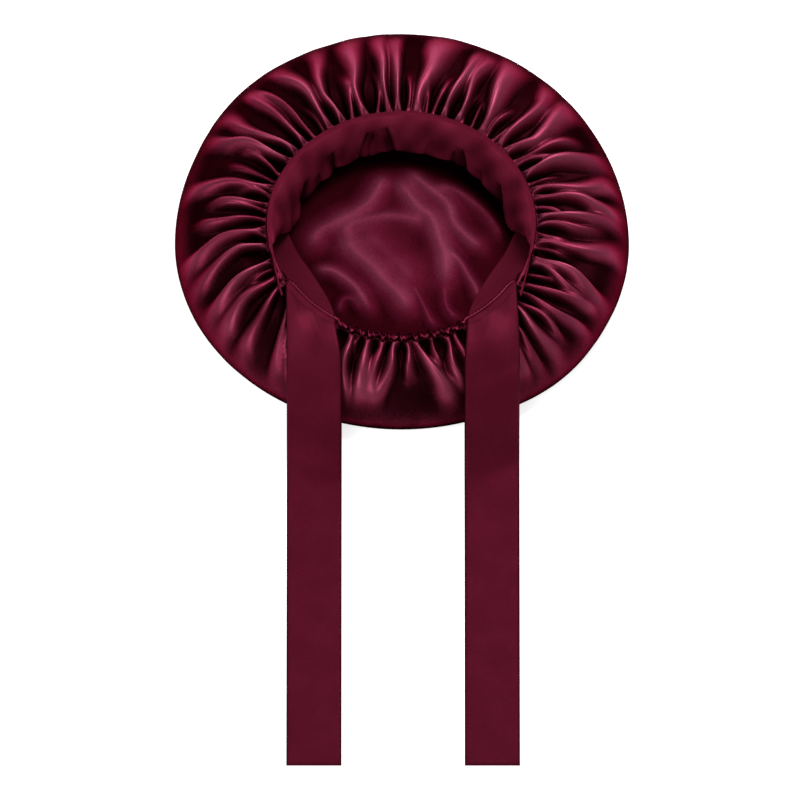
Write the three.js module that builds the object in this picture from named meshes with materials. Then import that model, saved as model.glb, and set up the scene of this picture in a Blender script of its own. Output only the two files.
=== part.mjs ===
// A satin sleep bonnet, lying on its crown with the opening up and the ties laid out straight.
// The crown is one gathered bag of cloth. A wide band is sewn inside the front of the opening,
// a ruffled elastic casing closes the nape, and a tie is sewn in at each side between the two.
//
// Millimetres, +Z up. The origin is on the surface that the bonnet lies on, under the middle of
// the opening. +Y points to the forehead side, the ties run towards -Y. Angles are degrees
// counter-clockwise from +X, seen from above.
import * as THREE from "three";

// The opening and the crown
const OPENING_RADIUS = 98; // of the crown's sewn edge
const OPENING_HEIGHT = 43.5; // of that edge above the surface
const CROWN_SIDE_RADIUS = 168; // from the middle of the opening to the rim, left and right
const CROWN_FRONT_RADIUS = 180; // the same, on the forehead side
const CROWN_NAPE_RADIUS = 156.5; // the same, on the nape side, where the elastic pulls it in
const RIM_SWELL = 3; // how far the rim bulges out of that round shape in the fullest of its swells
const PUFF_HEIGHT = 46; // the mean height of the gathered ring at its fullest
const CROWN_WALL = 2; // two layers of satin
const GATHER_DEPTH = 9; // from the bottom of a full gather to its crest
const GATHER_WIDTH = 9.5; // half the width of a full gather at mid ring
const LINING_FOLD_HEIGHT = 6; // of the soft folds in the cloth that lies on the surface
const FLAT_MIDDLE = 0.17; // share of OPENING_RADIUS in which that cloth has no folds

// The band
const BAND_WIDTH = 39.5; // of the finished strip, from the seam to its free edge
const BAND_WALL = 1.6;
const BAND_FREE_HEIGHT = 7; // of its free edge above the surface, which sets how steeply it hangs
const BAND_LIP = 2.4; // how far its sewn edge covers the gathers
const BAND_DENT = 5; // depth of the deepest dent along its free edge
const BAND_TAPER = 26; // degrees at each end in which it narrows to a tail
const BAND_TAIL_FROM = 12; // degrees behind the middle line, where it is narrowed to that tail
const BAND_TAIL_TO = 37; // the same, where the tail ends beside the tie
const BAND_TAIL_WIDTH = 2.8;
const BAND_TAIL_OUT = 10.4; // how far the tail's tip runs out over the gathers
const BAND_TIP = 0.6; // width of that tip

// The nape casing
const CASING_WIDTH = 4.8; // where it is ruffled, between the ties
const CASING_SMOOTH_WIDTH = 2.6; // where it is sewn over a tie
const CASING_HEIGHT = 3;
const CASING_RUFFLE = 1.2; // how far the ruffles swing to each side
const CASING_PULL = 2.5; // how far the ties pull it into the opening
const CASING_RUFFLES = 14; // between the two ties

// The ties
const TIE_WIDTH = 40.7; // of the finished strip
const TIE_WALL = 1.6;
const TIE_INNER_EDGE = 45.3; // from the line midway between the ties to the near edge of each
const TIE_SHIFT = 1.3; // how far to the right that line lies once the ties have left the opening
const TIE_REACH = 436.3; // from the middle of the opening to the free end, along the surface
const TIE_SEAM_FROM = 28; // degrees behind the middle line, where its outer edge leaves the opening
const TIE_SEAM_TO = 59; // the same, for its inner edge
const TIE_DROP = 50; // how far beyond the rim a tie comes down to the surface

// Clearances
const SEAM_GAP = 0.35; // between pieces that are sewn face to face
const DRAPE_GAP = 1.2; // under a tie, where it lies across the crests of the gathers

// The crown's section, from the sewn edge out over the ring and round the rim to where the cloth
// lies flat. out: share of the way from the opening's edge to the rim. up: share of PUFF_HEIGHT.
// fold: share of GATHER_DEPTH. around: how many points the row has all round.
const EDGE_UP = OPENING_HEIGHT / PUFF_HEIGHT;
const RING_ROWS = [
  { at: "sewn edge", out: 0, up: EDGE_UP, fold: 0, around: 196 },
  { at: "stitching", out: 0.065, up: EDGE_UP, fold: 0, around: 196 },
  { at: "springing", out: 0.12, up: 0.96, fold: 0.5, around: 196 },
  { at: "puffed", out: 0.22, up: 1, fold: 0.9, around: 196 },
  { at: "crest", out: 0.37, up: 1, fold: 1, around: 196 },
  { at: "falling", out: 0.55, up: 0.93, fold: 0.85, around: 196 },
  { at: "shoulder", out: 0.75, up: 0.79, fold: 0.55, around: 144 },
  { at: "over the rim", out: 0.91, up: 0.58, fold: 0.25, around: 144 },
  { at: "rim", out: 1, up: 0.31, fold: 0.06, around: 72 },
  { at: "under the rim", out: 0.93, up: 0.07, fold: 0, around: 72 },
  { at: "resting edge", out: 0.8, up: 0, fold: 0, around: 72 },
];

// The part that lies on the surface. in: share of the way from the resting edge to the middle.
const FLOOR_ROWS = [
  { in: 0.25, around: 72 },
  { in: 0.4, around: 72 },
  { in: 0.48, around: 60 },
  { in: 0.56, around: 60 },
  { in: 0.64, around: 48 },
  { in: 0.72, around: 48 },
  { in: 0.8, around: 36 },
  { in: 0.9, around: 18 },
];

// Where the rim swells. at: angle. wide: degrees to each side. far: share of RIM_SWELL.
const RIM_SWELLS = [
  { at: 132, wide: 26, far: 0.65 },
  { at: 314, wide: 24, far: 0.8 },
  { at: 345, wide: 60, far: 0.35 },
];

// The gathers, one crest to a row. seam, mid and rim: its angle at the opening's edge, half-way
// out and at the rim. tall: share of GATHER_DEPTH. reach: share of the ring's width that it runs.
const GATHERS = [
  { seam: 3.4, mid: 2.5, rim: 2.3, tall: 1, reach: 1 },
  { seam: 9, mid: 8, rim: 7.5, tall: 0.7, reach: 0.6 },
  { seam: 15.5, mid: 14, rim: 12.4, tall: 0.9, reach: 1 },
  { seam: 25.2, mid: 24.5, rim: 23, tall: 0.9, reach: 1 },
  { seam: 31.5, mid: 29, rim: 28, tall: 0.8, reach: 0.9 },
  { seam: 38.5, mid: 36, rim: 38.5, tall: 1, reach: 1 },
  { seam: 43.5, mid: 43.8, rim: 47.5, tall: 0.9, reach: 1 },
  { seam: 49.3, mid: 50.5, rim: 55, tall: 0.8, reach: 0.9 },
  { seam: 55, mid: 57.5, rim: 63, tall: 1, reach: 1 },
  { seam: 65.2, mid: 65.2, rim: 67, tall: 1, reach: 0.9 },
  { seam: 71, mid: 71, rim: 71.5, tall: 0.9, reach: 0.9 },
  { seam: 77, mid: 76, rim: 75, tall: 0.6, reach: 0.5 },
  { seam: 82.8, mid: 81.5, rim: 80, tall: 1, reach: 1 },
  { seam: 89.5, mid: 89, rim: 87.5, tall: 0.7, reach: 0.7 },
  { seam: 96, mid: 95.8, rim: 95.2, tall: 1, reach: 1 },
  { seam: 104.5, mid: 104, rim: 103, tall: 1, reach: 1 },
  { seam: 111, mid: 109.5, rim: 108, tall: 0.6, reach: 0.6 },
  { seam: 117.2, mid: 116, rim: 112.8, tall: 0.9, reach: 1 },
  { seam: 122.5, mid: 122.6, rim: 124, tall: 1, reach: 1 },
  { seam: 129.3, mid: 130, rim: 132, tall: 0.8, reach: 0.9 },
  { seam: 135.3, mid: 135.2, rim: 135.5, tall: 1, reach: 1 },
  { seam: 142.5, mid: 144.3, rim: 144.2, tall: 0.9, reach: 1 },
  { seam: 148.5, mid: 149.5, rim: 150.5, tall: 1, reach: 1 },
  { seam: 155.5, mid: 154.5, rim: 155, tall: 0.8, reach: 0.8 },
  { seam: 161.5, mid: 163.5, rim: 166.5, tall: 1, reach: 1 },
  { seam: 168, mid: 169, rim: 172, tall: 0.7, reach: 0.6 },
  { seam: 174.5, mid: 175, rim: 178, tall: 0.9, reach: 0.9 },
  { seam: 182.5, mid: 184.6, rim: 189, tall: 1, reach: 1 },
  { seam: 190, mid: 193.5, rim: 199, tall: 1, reach: 1 },
  { seam: 197.5, mid: 201.5, rim: 207, tall: 0.9, reach: 1 },
  { seam: 204.5, mid: 207.5, rim: 213, tall: 0.9, reach: 1 },
  { seam: 211, mid: 215, rim: 221, tall: 0.8, reach: 1 },
  { seam: 219, mid: 224, rim: 232, tall: 0.8, reach: 1 },
  { seam: 228, mid: 233, rim: 240, tall: 0.7, reach: 0.8 },
  { seam: 237, mid: 241, rim: 246, tall: 0.7, reach: 0.8 },
  { seam: 246, mid: 248.5, rim: 251, tall: 0.8, reach: 0.9 },
  { seam: 255, mid: 256, rim: 256.5, tall: 1, reach: 0.9 },
  { seam: 262.5, mid: 263, rim: 261, tall: 1, reach: 1 },
  { seam: 270.5, mid: 271.5, rim: 272.5, tall: 0.8, reach: 0.9 },
  { seam: 279, mid: 279, rim: 279, tall: 1, reach: 1 },
  { seam: 287.5, mid: 286.5, rim: 286, tall: 0.8, reach: 0.8 },
  { seam: 296, mid: 294, rim: 292, tall: 0.7, reach: 0.8 },
  { seam: 304, mid: 301.5, rim: 298, tall: 0.7, reach: 0.8 },
  { seam: 312, mid: 309.5, rim: 305.5, tall: 0.8, reach: 1 },
  { seam: 320, mid: 318, rim: 315, tall: 1, reach: 1 },
  { seam: 328.5, mid: 328.5, rim: 323, tall: 0.9, reach: 1 },
  { seam: 334.5, mid: 334.5, rim: 333, tall: 0.8, reach: 0.8 },
  { seam: 341, mid: 341.5, rim: 340, tall: 1, reach: 1 },
  { seam: 351, mid: 350.7, rim: 351.3, tall: 1, reach: 1 },
];

// The soft folds of the cloth that lies on the surface, seen through the opening. path: points
// along a crest, [rightwards, forwards] in shares of OPENING_RADIUS. tall: share of
// LINING_FOLD_HEIGHT. wide: half its width, also a share of OPENING_RADIUS.
const LINING_FOLDS = [
  {
    path: [[-0.1, 0.72], [-0.25, 0.43], [-0.51, 0.25], [-0.64, 0.16], [-0.72, -0.02]],
    tall: 0.9,
    wide: 0.15,
  },
  {
    path: [[-0.1, 0.72], [0.1, 0.42], [0.22, 0.3], [0.28, 0.12], [0.33, -0.1], [0.31, -0.48]],
    tall: 1,
    wide: 0.16,
  },
  {
    path: [[0, 0.75], [0.18, 0.58], [0.34, 0.42], [0.4, 0.24], [0.53, 0.09], [0.65, 0]],
    tall: 1,
    wide: 0.15,
  },
  {
    path: [[0.24, 0.58], [0.4, 0.54], [0.6, 0.38], [0.72, 0.22], [0.77, 0.09]],
    tall: 0.8,
    wide: 0.12,
  },
  {
    path: [[-0.4, 0.08], [-0.4, 0.22], [-0.25, 0.28], [-0.1, 0.31], [0.08, 0.28], [0.19, 0.22]],
    tall: 0.8,
    wide: 0.14,
  },
  {
    path: [[-0.43, 0.12], [-0.36, 0], [-0.24, -0.16], [-0.14, -0.3], [0, -0.42], [0.06, -0.6]],
    tall: 1,
    wide: 0.17,
  },
  {
    path: [[-0.65, -0.17], [-0.54, -0.17], [-0.43, -0.24], [-0.33, -0.35], [-0.18, -0.64]],
    tall: 0.9,
    wide: 0.12,
  },
  {
    path: [[-0.48, -0.54], [-0.45, -0.43], [-0.38, -0.42], [-0.27, -0.58]],
    tall: 0.6,
    wide: 0.09,
  },
  {
    path: [[0.34, 0.03], [0.44, -0.09], [0.5, -0.21], [0.56, -0.33], [0.58, -0.45]],
    tall: 0.8,
    wide: 0.1,
  },
  {
    path: [[0.08, -0.3], [0.14, -0.41], [0.2, -0.56], [0.26, -0.68]],
    tall: 0.6,
    wide: 0.09,
  },
];

// The dents of the band. at: angle. wide: degrees to each side. deep: share of BAND_DENT.
const BAND_DENTS = [
  { at: 10, wide: 9, deep: 0.5 },
  { at: 28, wide: 8, deep: 0.9 },
  { at: 43, wide: 7, deep: 0.8 },
  { at: 58, wide: 8, deep: 1 },
  { at: 76, wide: 9, deep: 0.5 },
  { at: 93, wide: 7, deep: 1 },
  { at: 106, wide: 6, deep: 0.8 },
  { at: 123, wide: 9, deep: 1 },
  { at: 140, wide: 7, deep: 0.8 },
  { at: 155, wide: 7, deep: 0.9 },
  { at: 171, wide: 9, deep: 0.4 },
];

// The tie's rows on the inside of the opening, from its hidden end up to the opening's edge.
// outer and inner: the two edges of the strip, in shares of OPENING_RADIUS outwards and forwards
// and of OPENING_HEIGHT upwards. The opening's edge itself follows the last row.
const TIE_INSIDE_ROWS = [
  { outer: [1.0, 0.14, 0.13], inner: [0.9, 0.2, 0.15] },
  { outer: [0.93, 0, 0.26], inner: [0.77, -0.08, 0.3] },
  { outer: [0.89, -0.17, 0.5], inner: [0.65, -0.34, 0.53] },
  { outer: [0.9, -0.34, 0.82], inner: [0.54, -0.64, 0.8] },
];

const BAND_COLUMNS = 54; // points of the band along the opening
const BAND_STEPS = [0, 0.25, 0.5, 0.75, 1]; // its rows, in shares of its width
const CASING_COLUMNS = 4; // points of the casing to a ruffle
const TIE_COLUMNS = 4; // strips that a tie is divided into across its width
const TIE_FALL_STEPS = [0.15, 0.3, 0.45, 0.6, 0.8, 1]; // rows from the shoulder to the surface
const TIE_FLAT_STEPS = [0.34, 0.67, 1]; // rows from there to the free end
const DEGREE = Math.PI / 180;
const SATIN = 0x6b1430;

const mix = (a, b, t) => a + (b - a) * t;
const clamp01 = (t) => Math.min(1, Math.max(0, t));
const ease = (t) => clamp01(t) ** 2 * (3 - 2 * clamp01(t));

// How far the rim is from the middle at an angle: half an ellipse to the front, half to the nape,
// and the swells.
function rimRadius(angle) {
  const across = Math.cos(angle * DEGREE) / CROWN_SIDE_RADIUS;
  const along = Math.sin(angle * DEGREE);
  const reach = along > 0 ? CROWN_FRONT_RADIUS : CROWN_NAPE_RADIUS;
  let radius = 1 / Math.hypot(across, along / reach);
  for (const { at, wide, far } of RIM_SWELLS) {
    const turn = Math.abs(((angle - at + 540) % 360) - 180);
    radius += RIM_SWELL * far * (1 - ease(turn / wide));
  }
  return radius;
}

// The angle of a gather's crest at a share of the way out: a parabola through its three places.
function crestAngle(gather, out) {
  const bend = gather.seam - 2 * gather.mid + gather.rim;
  return gather.seam + out * (gather.rim - gather.seam) + 2 * bend * out * (out - 1);
}

// The height of the gathers at a place, from 0 between two crests to 1 on a full one. The highest
// crest nearby counts, so two of them meet in a sharp crease.
function gatherHeight(angle, out) {
  const radius = mix(OPENING_RADIUS, rimRadius(angle), out);
  const halfWidth = GATHER_WIDTH * mix(0.72, 1.35, out);
  let height = 0;
  for (const gather of GATHERS) {
    const turn = ((angle - crestAngle(gather, out) + 540) % 360) - 180;
    const away = Math.abs(turn * DEGREE * radius) / halfWidth;
    const left = 1 - ease((out - gather.reach + 0.3) / 0.45);
    if (away < 1) height = Math.max(height, gather.tall * left * Math.cos((away * Math.PI) / 2));
  }
  return height;
}

// The height of the soft folds in the cloth on the surface. Each fades out towards its two ends.
function liningHeight(x, y) {
  let height = 0;
  for (const { path, tall, wide } of LINING_FOLDS) {
    for (let k = 0; k + 1 < path.length; k += 1) {
      const [startX, startY] = path[k];
      const run = [path[k + 1][0] - startX, path[k + 1][1] - startY];
      const from = [x / OPENING_RADIUS - startX, y / OPENING_RADIUS - startY];
      const along = clamp01((from[0] * run[0] + from[1] * run[1]) / (run[0] ** 2 + run[1] ** 2));
      const away = Math.hypot(from[0] - along * run[0], from[1] - along * run[1]) / wide;
      if (away >= 1) continue;
      const share = (k + along) / (path.length - 1);
      const fade = ease(share * 4) * ease((1 - share) * 4);
      height = Math.max(height, tall * fade * (1 - away ** 2) ** 2);
    }
  }
  const middle = Math.hypot(x, y) / OPENING_RADIUS;
  return height * LINING_FOLD_HEIGHT * ease((middle - FLAT_MIDDLE) / FLAT_MIDDLE);
}

// The outward direction of the crown's section at a row, in (outwards, upwards).
function sectionNormal(index, angle) {
  const place = ({ out, up }) =>
    new THREE.Vector2(mix(OPENING_RADIUS, rimRadius(angle), out), up * PUFF_HEIGHT);
  const before = RING_ROWS[Math.max(index - 1, 0)];
  const after = RING_ROWS[Math.min(index + 1, RING_ROWS.length - 1)];
  const run = place(after).sub(place(before)).normalize();
  return new THREE.Vector2(-run.y, run.x);
}

const polar = (radius, angle, z) =>
  new THREE.Vector3(radius * Math.cos(angle * DEGREE), radius * Math.sin(angle * DEGREE), z);

// One ring of points of the crown, on its outer face or, a wall thickness in, on its inner one.
function ringRow(index, inset) {
  const row = RING_ROWS[index];
  const last = index === RING_ROWS.length - 1;
  return Array.from({ length: row.around }, (_, i) => {
    const angle = (360 * i) / row.around;
    const normal = last ? new THREE.Vector2(0, -1) : sectionNormal(index, angle);
    const fold = row.fold && GATHER_DEPTH * row.fold * (gatherHeight(angle, row.out) - 0.5);
    const radius = mix(OPENING_RADIUS, rimRadius(angle), row.out) + normal.x * (fold - inset);
    return polar(radius, angle, row.up * PUFF_HEIGHT + normal.y * (fold - inset));
  });
}

// One ring of points of the cloth on the surface.
function floorRow(row, inset) {
  return Array.from({ length: row.around }, (_, i) => {
    const angle = (360 * i) / row.around;
    const rest = mix(OPENING_RADIUS, rimRadius(angle), RING_ROWS.at(-1).out);
    const point = polar(rest * (1 - row.in), angle, 0);
    return point.setZ(liningHeight(point.x, point.y) + inset);
  });
}

// Triangles between two rings of points that may differ in number.
function stitchRings(faces, lower, upper) {
  let i = 0;
  let j = 0;
  while (i < lower.length || j < upper.length) {
    const a = lower[i % lower.length];
    const b = upper[j % upper.length];
    if (j === upper.length || (i < lower.length && (i + 1) / lower.length <= (j + 1) / upper.length)) {
      faces.push(a, lower[(i + 1) % lower.length], b);
      i += 1;
    } else {
      faces.push(a, upper[(j + 1) % upper.length], b);
      j += 1;
    }
  }
}

function geometryOf(faces) {
  return new THREE.BufferGeometry().setFromPoints(faces);
}

// The crown: rings from the middle of its outer face, round the rim and over the gathers to the
// sewn edge, and back inside to the middle of its inner face.
function crownGeometry() {
  const ringOrder = RING_ROWS.map((_, index) => index).reverse();
  const floorOrder = [...FLOOR_ROWS].reverse();
  const outer = [...floorOrder.map((row) => floorRow(row, 0)), ...ringOrder.map((i) => ringRow(i, 0))];
  const inner = [
    ...floorOrder.map((row) => floorRow(row, CROWN_WALL)),
    ...ringOrder.map((i) => ringRow(i, CROWN_WALL)),
  ].reverse();
  const rings = [
    [new THREE.Vector3(0, 0, liningHeight(0, 0))],
    ...outer,
    ...inner,
    [new THREE.Vector3(0, 0, liningHeight(0, 0) + CROWN_WALL)],
  ];
  const faces = [];
  for (let k = 0; k + 1 < rings.length; k += 1) {
    if (rings[k].length === 1 || rings[k + 1].length === 1) {
      fanToMiddle(faces, rings[k], rings[k + 1]);
    } else {
      stitchRings(faces, rings[k], rings[k + 1]);
    }
  }
  return geometryOf(faces);
}

// Triangles between one middle point and the ring round it.
function fanToMiddle(faces, lower, upper) {
  const middleFirst = lower.length === 1;
  const ring = middleFirst ? upper : lower;
  const middle = middleFirst ? lower[0] : upper[0];
  ring.forEach((point, i) => {
    const next = ring[(i + 1) % ring.length];
    if (middleFirst) faces.push(middle, next, point);
    else faces.push(middle, point, next);
  });
}

// A closed plate on a grid of points, as thick as the wall, to the side that the grid faces.
function plateGeometry(grid, wall) {
  const rows = grid.length;
  const columns = grid[0].length;
  const at = (j, i) => grid[Math.min(Math.max(j, 0), rows - 1)][Math.min(Math.max(i, 0), columns - 1)];
  const far = grid.map((line, j) =>
    line.map((point, i) => {
      const along = at(j + 1, i).clone().sub(at(j - 1, i));
      const across = at(j, i + 1).clone().sub(at(j, i - 1));
      return across.cross(along).normalize().multiplyScalar(wall).add(point);
    }),
  );
  const faces = [];
  const quad = (a, b, c, d) => faces.push(a, b, c, a, c, d);
  for (let j = 0; j + 1 < rows; j += 1) {
    for (let i = 0; i + 1 < columns; i += 1) {
      quad(far[j][i], far[j][i + 1], far[j + 1][i + 1], far[j + 1][i]);
      quad(grid[j][i], grid[j + 1][i], grid[j + 1][i + 1], grid[j][i + 1]);
    }
    quad(grid[j][0], far[j][0], far[j + 1][0], grid[j + 1][0]);
    quad(grid[j][columns - 1], grid[j + 1][columns - 1], far[j + 1][columns - 1], far[j][columns - 1]);
  }
  for (let i = 0; i + 1 < columns; i += 1) {
    quad(grid[0][i], grid[0][i + 1], far[0][i + 1], far[0][i]);
    quad(grid[rows - 1][i], far[rows - 1][i], far[rows - 1][i + 1], grid[rows - 1][i + 1]);
  }
  return geometryOf(faces);
}

// The front band: a lip over the crown's sewn edge, then a strip that slopes in and down to its
// free edge. At each end it narrows to a tail, which runs out over the gathers beside the tie.
function bandGeometry() {
  const drop = Math.min(BAND_WIDTH, OPENING_HEIGHT + SEAM_GAP - BAND_FREE_HEIGHT);
  const columns = Array.from({ length: BAND_COLUMNS + 1 }, (_, i) =>
    mix(-BAND_TAIL_TO, 180 + BAND_TAIL_TO, i / BAND_COLUMNS),
  );
  const lip = columns.map((angle) => bandSeam(angle, bandEdges(angle).outer));
  const rows = BAND_STEPS.map((step) =>
    columns.map((angle) => {
      const behind = behindMiddle(angle);
      const length = Math.max(BAND_TIP, BAND_WIDTH * ease((BAND_TAIL_FROM - behind) / BAND_TAPER));
      const steep = Math.asin(drop / BAND_WIDTH) * (1 - tailShare(behind));
      const dent = (BAND_DENT * step * bandDent(angle) * length) / BAND_WIDTH;
      const { inner } = bandEdges(angle);
      const radius = inner - step * length * Math.cos(steep) + dent * Math.sin(steep);
      const fall = step * length * Math.sin(steep) + dent * Math.cos(steep);
      return polar(radius, angle, bandSeam(angle, inner).z - fall);
    }),
  );
  return plateGeometry([lip, ...rows], BAND_WALL);
}

// How far an angle is behind the middle line, in degrees, on the side that it is nearer to.
function behindMiddle(angle) {
  return Math.max(-angle, angle - 180);
}

// 0 where the band still hangs inside the opening, 1 where it has turned into the flat tail.
function tailShare(behind) {
  return ease((3 * behind) / BAND_TAIL_FROM - 2);
}

// The band's sewn part from its outer to its inner edge, as radii. In the tail it keeps clear of
// the tie beside it.
function bandEdges(angle) {
  const behind = behindMiddle(angle);
  const way = clamp01((behind - BAND_TAIL_FROM) / (BAND_TAIL_TO - BAND_TAIL_FROM));
  const run = OPENING_RADIUS + BAND_LIP + BAND_TAIL_OUT * way ** 1.6;
  const besideTie = (Math.max(tieEdge(0), tieEdge(0.3)) + 2 * SEAM_GAP) / Math.cos(behind * DEGREE);
  if (behind < 0) return { outer: run, inner: OPENING_RADIUS - 4 * SEAM_GAP };
  const outer = Math.max(run, besideTie + 2 * BAND_TIP);
  const tailInner = Math.max(outer - BAND_TAIL_WIDTH, besideTie) + BAND_TIP;
  return { outer, inner: mix(OPENING_RADIUS - 4 * SEAM_GAP, tailInner, tailShare(behind)) };
}

// A point of the band's sewn part, just over the crown's edge and its gathers.
function bandSeam(angle, radius) {
  const out = (radius - OPENING_RADIUS) / (rimRadius(angle) - OPENING_RADIUS);
  return polar(radius, angle, crestHeight(Math.max(0, out)) + drapeGap(out));
}

// The gap under a strip that runs out over the gathers: sewn at first, then resting on the crests.
function drapeGap(out) {
  return mix(SEAM_GAP, DRAPE_GAP, ease(out / RING_ROWS[2].out));
}

// How far from the middle plane a tie's outer edge gets at a share of the way out to the rim.
function tieEdge(out) {
  const seam = (OPENING_RADIUS - 3 * SEAM_GAP) * Math.cos(TIE_SEAM_FROM * DEGREE);
  return mix(seam, TIE_INNER_EDGE + TIE_WIDTH + Math.abs(TIE_SHIFT), ease(out / 0.6));
}

// How far the band's free edge is pushed out at an angle: 0 between the dents, 1 in a full one.
function bandDent(angle) {
  const depths = BAND_DENTS.map(({ at, wide, deep }) => deep * (1 - ease(Math.abs(angle - at) / wide)));
  return Math.max(0, ...depths);
}

// The height of the highest gathers' crests at a share of the way out.
function crestHeight(out) {
  const after = Math.max(1, RING_ROWS.findIndex((row) => row.out >= out));
  const [a, b] = [RING_ROWS[after - 1], RING_ROWS[after]];
  const top = (row) => row.up * PUFF_HEIGHT + (row.fold * GATHER_DEPTH) / 2;
  return mix(top(a), top(b), (out - a.out) / (b.out - a.out));
}

// A tie: its rows run from the hidden end inside the band, up to the opening's edge, over the
// crests of the gathers, down beyond the rim and along the surface. side: 1 right, -1 left.
function tieGeometry(side) {
  const across = Array.from({ length: TIE_COLUMNS + 1 }, (_, i) => i / TIE_COLUMNS);
  const inside = TIE_INSIDE_ROWS.map(({ outer, inner }) => {
    const place = ([right, forward, up]) =>
      new THREE.Vector3(right * OPENING_RADIUS, forward * OPENING_RADIUS, up * OPENING_HEIGHT);
    return across.map((share) => place(outer).lerp(place(inner), share));
  });
  const shoulder = RING_ROWS.findIndex((row) => row.at === "shoulder");
  const level = OPENING_HEIGHT + SEAM_GAP;
  const seam = across.map((share) => {
    const radius = OPENING_RADIUS - 3 * SEAM_GAP - CASING_PULL * ease(share * 3);
    return polar(radius, -mix(TIE_SEAM_FROM, TIE_SEAM_TO, share), level);
  });
  const over = RING_ROWS.slice(1, shoulder + 1).map((row) =>
    across.map((share, i) => {
      const straight = TIE_INNER_EDGE + TIE_WIDTH * (1 - share) + side * TIE_SHIFT;
      const x = mix(seam[i].x, straight, ease(row.out / 0.6));
      return new THREE.Vector3(x, -ringDepth(x, row.out), crestHeight(row.out) + drapeGap(row.out));
    }),
  );
  const top = over.at(-1);
  const ground = top.map((point) => new THREE.Vector3(point.x, -ringDepth(point.x, 1) - TIE_DROP, 0));
  const fall = TIE_FALL_STEPS.map((step) =>
    top.map((point, i) => point.clone().lerp(ground[i], step).setZ(point.z * (1 - ease(step)))),
  );
  const flat = TIE_FLAT_STEPS.map((step) =>
    ground.map((point) => point.clone().setY(mix(point.y, -TIE_REACH, step))),
  );
  const grid = [...inside, seam, ...over, ...fall, ...flat];
  for (const line of grid) {
    line.forEach((point) => point.setX(point.x * side));
    if (side < 0) line.reverse();
  }
  return plateGeometry(grid, TIE_WALL);
}

// How far behind the middle line the ring's curve at a share of the way out is, at a place x.
function ringDepth(x, out) {
  const wide = mix(OPENING_RADIUS, CROWN_SIDE_RADIUS, out);
  const deep = mix(OPENING_RADIUS, CROWN_NAPE_RADIUS, out);
  return deep * Math.sqrt(Math.max(0, 1 - (x / wide) ** 2));
}

// The nape casing: a narrow tube on the opening's edge, smooth where it crosses the ties and
// ruffled between them.
function casingGeometry() {
  const from = 180 + TIE_SEAM_FROM - 1.5;
  const to = 360 - TIE_SEAM_FROM + 1.5;
  const ruffled = 180 - 2 * TIE_SEAM_TO;
  const count = Math.round((CASING_RUFFLES * CASING_COLUMNS * (to - from)) / ruffled);
  const section = [
    [-0.5, 0],
    [0.5, 0],
    [0.42, 0.7],
    [0, 1],
    [-0.42, 0.7],
  ];
  const rings = Array.from({ length: count + 1 }, (_, i) => {
    const angle = mix(from, to, i / count);
    const fromMiddle = Math.abs(angle - 270);
    const free = ease((90 - TIE_SEAM_TO - fromMiddle) / 8);
    const swing = Math.sin(((angle - 270) / ruffled) * CASING_RUFFLES * 2 * Math.PI);
    const pull = CASING_PULL * (1 - free) * ease((90 - TIE_SEAM_FROM - fromMiddle) / 8);
    const radius = OPENING_RADIUS + CASING_RUFFLE * free * swing - pull;
    const base = OPENING_HEIGHT + SEAM_GAP + (1 - free) * (TIE_WALL + 1.5 * SEAM_GAP);
    const width = mix(CASING_SMOOTH_WIDTH, CASING_WIDTH, free);
    return section.map(([out, up]) => polar(radius + out * width, angle, base + up * CASING_HEIGHT));
  });
  return tubeGeometry(rings);
}

// A closed tube through rings of the same number of points, listed from section to section.
function tubeGeometry(rings) {
  const faces = [];
  for (let k = 0; k + 1 < rings.length; k += 1) {
    rings[k].forEach((a, i) => {
      const next = (i + 1) % rings[k].length;
      faces.push(a, rings[k + 1][i], rings[k + 1][next], a, rings[k + 1][next], rings[k][next]);
    });
  }
  for (let i = 1; i + 1 < rings[0].length; i += 1) {
    faces.push(rings[0][0], rings[0][i], rings[0][i + 1]);
    faces.push(rings.at(-1)[0], rings.at(-1)[i + 1], rings.at(-1)[i]);
  }
  return geometryOf(faces);
}

const bonnet = new THREE.Group();
bonnet.name = "sleep_bonnet";

function addPiece(name, geometry, color) {
  geometry.computeVertexNormals();
  const material = new THREE.MeshStandardMaterial({ color, roughness: 0.45, side: THREE.FrontSide });
  material.name = `${name}_satin`;
  const mesh = new THREE.Mesh(geometry, material);
  mesh.name = name;
  bonnet.add(mesh);
}

addPiece("crown", crownGeometry(), SATIN);
addPiece("front_band", bandGeometry(), SATIN);
addPiece("nape_casing", casingGeometry(), SATIN);
addPiece("tie_left", tieGeometry(-1), SATIN);
addPiece("tie_right", tieGeometry(1), SATIN);

export default bonnet;
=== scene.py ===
import math

import bpy
import numpy as np
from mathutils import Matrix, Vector


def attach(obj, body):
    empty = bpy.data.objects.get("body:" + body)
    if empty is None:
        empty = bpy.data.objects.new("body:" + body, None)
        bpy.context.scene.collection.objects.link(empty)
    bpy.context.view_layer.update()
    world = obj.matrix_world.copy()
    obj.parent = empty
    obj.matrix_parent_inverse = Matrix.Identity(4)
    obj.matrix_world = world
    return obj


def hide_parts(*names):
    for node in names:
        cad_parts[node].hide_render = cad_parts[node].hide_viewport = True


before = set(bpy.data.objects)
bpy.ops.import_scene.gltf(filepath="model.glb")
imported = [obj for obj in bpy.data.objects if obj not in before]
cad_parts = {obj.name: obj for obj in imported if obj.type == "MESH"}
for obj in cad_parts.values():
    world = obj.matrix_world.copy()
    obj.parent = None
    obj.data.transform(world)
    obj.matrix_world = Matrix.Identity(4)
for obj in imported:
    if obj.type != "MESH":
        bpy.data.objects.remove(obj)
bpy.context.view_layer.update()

# The camera looks down at 60 degrees over the ends of the ties, from so far off that the
# ties keep their width. Three softboxes stand behind, low behind and in front of the bonnet,
# because satin shows its folds by the broad lights that it mirrors.
PHOTO_WIDTH = 0.592
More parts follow.
